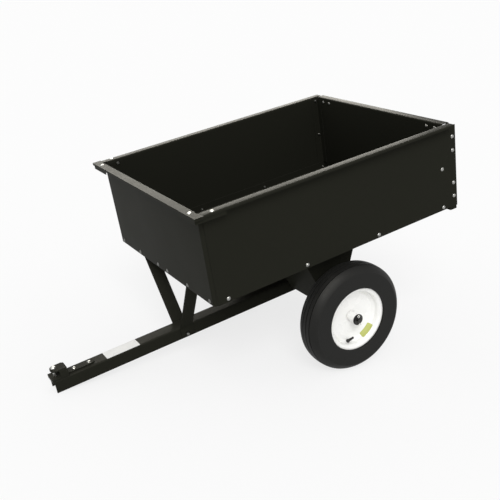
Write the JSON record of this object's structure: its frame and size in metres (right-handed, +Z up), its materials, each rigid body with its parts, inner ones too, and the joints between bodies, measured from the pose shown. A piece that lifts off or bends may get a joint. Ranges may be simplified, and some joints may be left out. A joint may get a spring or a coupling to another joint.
{
  "type": "tipping dump cart",
  "caption": "Two-wheeled steel garden dump cart: an open sheet-metal bed that tips on its axle behind a channel tongue with a pin hitch, with a lift-out tailgate.",
  "frame": {"origin": "on the ground, in the middle of the cart's length and width as it stands on its wheels and tongue tip", "axes": "+X to the rear, away from the hitch; +Y to the cart's right; +Z up"},
  "size_m": [1.4604, 0.876, 0.8348],
  "materials": {
    "black_paint": "gloss black powder coat on steel",
    "zinc_plate": "bright zinc plate on steel",
    "white_paint": "gloss white paint on steel",
    "tyre_rubber": "satin black rubber",
    "bush_plastic": "black nylon",
    "valve_rubber": "black rubber"
  },
  "bodies": {
    "chassis": {"tongue": "black_paint", "hitch_bracket": "black_paint", "hitch_bolts": "zinc_plate", "axle": "zinc_plate", "axle_spacers": "zinc_plate", "axle_washers": "zinc_plate", "cotter_pins": "zinc_plate"},
    "bed": {"floor_pan": "black_paint", "left_side": "black_paint", "right_side": "black_paint", "front_panel": "black_paint", "left_rim_gusset": "black_paint", "right_rim_gusset": "black_paint", "left_front_track": "black_paint", "right_front_track": "black_paint", "left_rear_track": "black_paint", "right_rear_track": "black_paint", "left_axle_bracket": "black_paint", "right_axle_bracket": "black_paint", "left_brace": "black_paint", "right_brace": "black_paint", "side_bolts": "zinc_plate", "front_bolts": "zinc_plate", "track_bolts": "zinc_plate", "rim_bolts": "zinc_plate", "bracket_bolts": "zinc_plate", "brace_bolts": "zinc_plate"},
    "tailgate": {"tailgate_panel": "black_paint", "tailgate_bar": "black_paint", "tailgate_bolts": "zinc_plate"},
    "left_wheel": {"left_tyre": "tyre_rubber", "left_rim": "white_paint", "left_bushes": "bush_plastic", "left_valve": "valve_rubber"},
    "right_wheel": {"right_tyre": "tyre_rubber", "right_rim": "white_paint", "right_bushes": "bush_plastic", "right_valve": "valve_rubber"},
    "hitch_pin": {"hitch_pin": "zinc_plate"},
    "release_pin": {"release_pin": "zinc_plate", "pull_ring": "zinc_plate"}
  },
  "joints": [
    {"name": "bed_tip", "type": "hinge", "parent": "chassis", "child": "bed", "pos_m": [0.23777, 0, 0.197], "axis": [0, 1, 0], "range_deg": [0, 50]},
    {"name": "tailgate_lift", "type": "slide", "parent": "bed", "child": "tailgate", "axis": [-0.1678, 0, 0.9858], "range_m": [0, 0.34]},
    {"name": "left_wheel_spin", "type": "hinge", "parent": "chassis", "child": "left_wheel", "pos_m": [0.23777, -0.38, 0.197], "axis": [0, 1, 0], "continuous": true},
    {"name": "right_wheel_spin", "type": "hinge", "parent": "chassis", "child": "right_wheel", "pos_m": [0.23777, 0.38, 0.197], "axis": [0, 1, 0], "continuous": true},
    {"name": "hitch_pin_lift", "type": "slide", "parent": "chassis", "child": "hitch_pin", "axis": [-0.1678, 0, 0.9858], "range_m": [0, 0.15]},
    {"name": "release_pin_pull", "type": "slide", "parent": "chassis", "child": "release_pin", "axis": [0, 1, 0], "range_m": [0, 0.085]}
  ]
}
